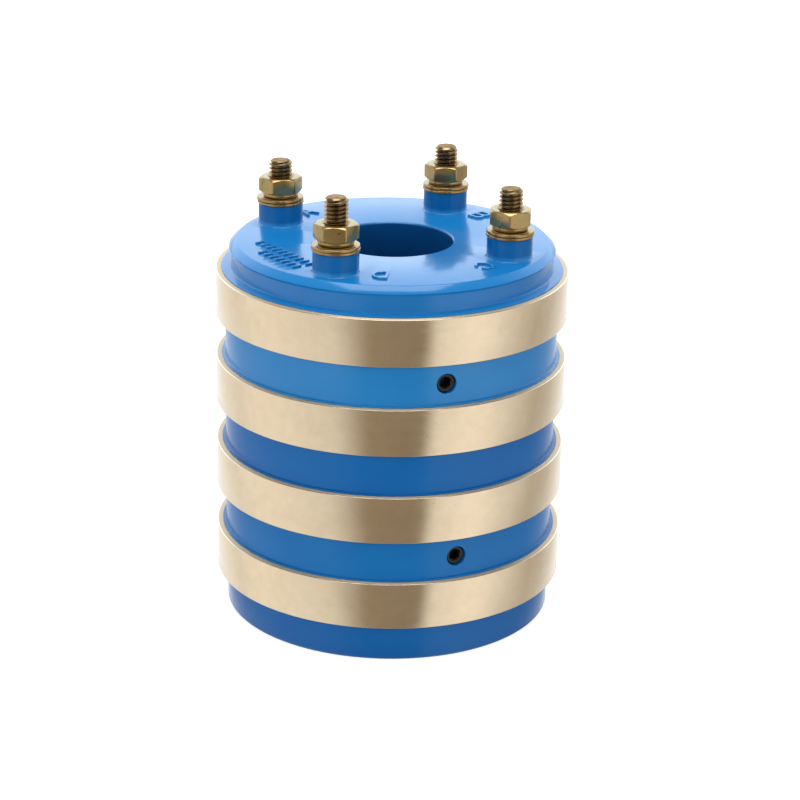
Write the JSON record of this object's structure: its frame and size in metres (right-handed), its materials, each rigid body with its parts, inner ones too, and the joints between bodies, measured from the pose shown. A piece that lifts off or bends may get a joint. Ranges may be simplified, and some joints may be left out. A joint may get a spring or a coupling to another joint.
{
  "type": "slip ring",
  "caption": "Moulded slip ring rotor: brass collector rings on an insulating body with a keyed shaft bore, wired to threaded terminal studs on its top face.",
  "frame": {"origin": "centre of the shaft bore on the lower end face, on which the part stands", "axes": "+Z along the shaft bore, up to the terminal face; the keyway lies towards -X and the set screws towards -Y"},
  "size_m": [0.088, 0.088, 0.1143],
  "materials": {
    "moulding": "glossy blue moulded thermoset",
    "ring_brass": "fine turned pale brass",
    "stud_steel": "yellow passivated zinc on rolled thread, dark bronze",
    "zinc_plate": "yellow passivated zinc plate",
    "black_oxide": "black oxide"
  },
  "bodies": {
    "root": {"insulating_body": "moulding", "collector_ring_1": "ring_brass", "collector_ring_2": "ring_brass", "collector_ring_3": "ring_brass", "collector_ring_4": "ring_brass", "terminal_stud_a": "stud_steel", "terminal_stud_b": "stud_steel", "terminal_stud_c": "stud_steel", "terminal_stud_d": "stud_steel", "lower_washer_a": "zinc_plate", "lower_washer_b": "zinc_plate", "lower_washer_c": "zinc_plate", "lower_washer_d": "zinc_plate", "upper_washer_a": "zinc_plate", "upper_washer_b": "zinc_plate", "upper_washer_c": "zinc_plate", "upper_washer_d": "zinc_plate", "spring_washer_a": "zinc_plate", "spring_washer_b": "zinc_plate", "spring_washer_c": "zinc_plate", "spring_washer_d": "zinc_plate", "hex_nut_a": "zinc_plate", "hex_nut_b": "zinc_plate", "hex_nut_c": "zinc_plate", "hex_nut_d": "zinc_plate", "upper_set_screw": "black_oxide", "lower_set_screw": "black_oxide"}
  },
  "joints": []
}
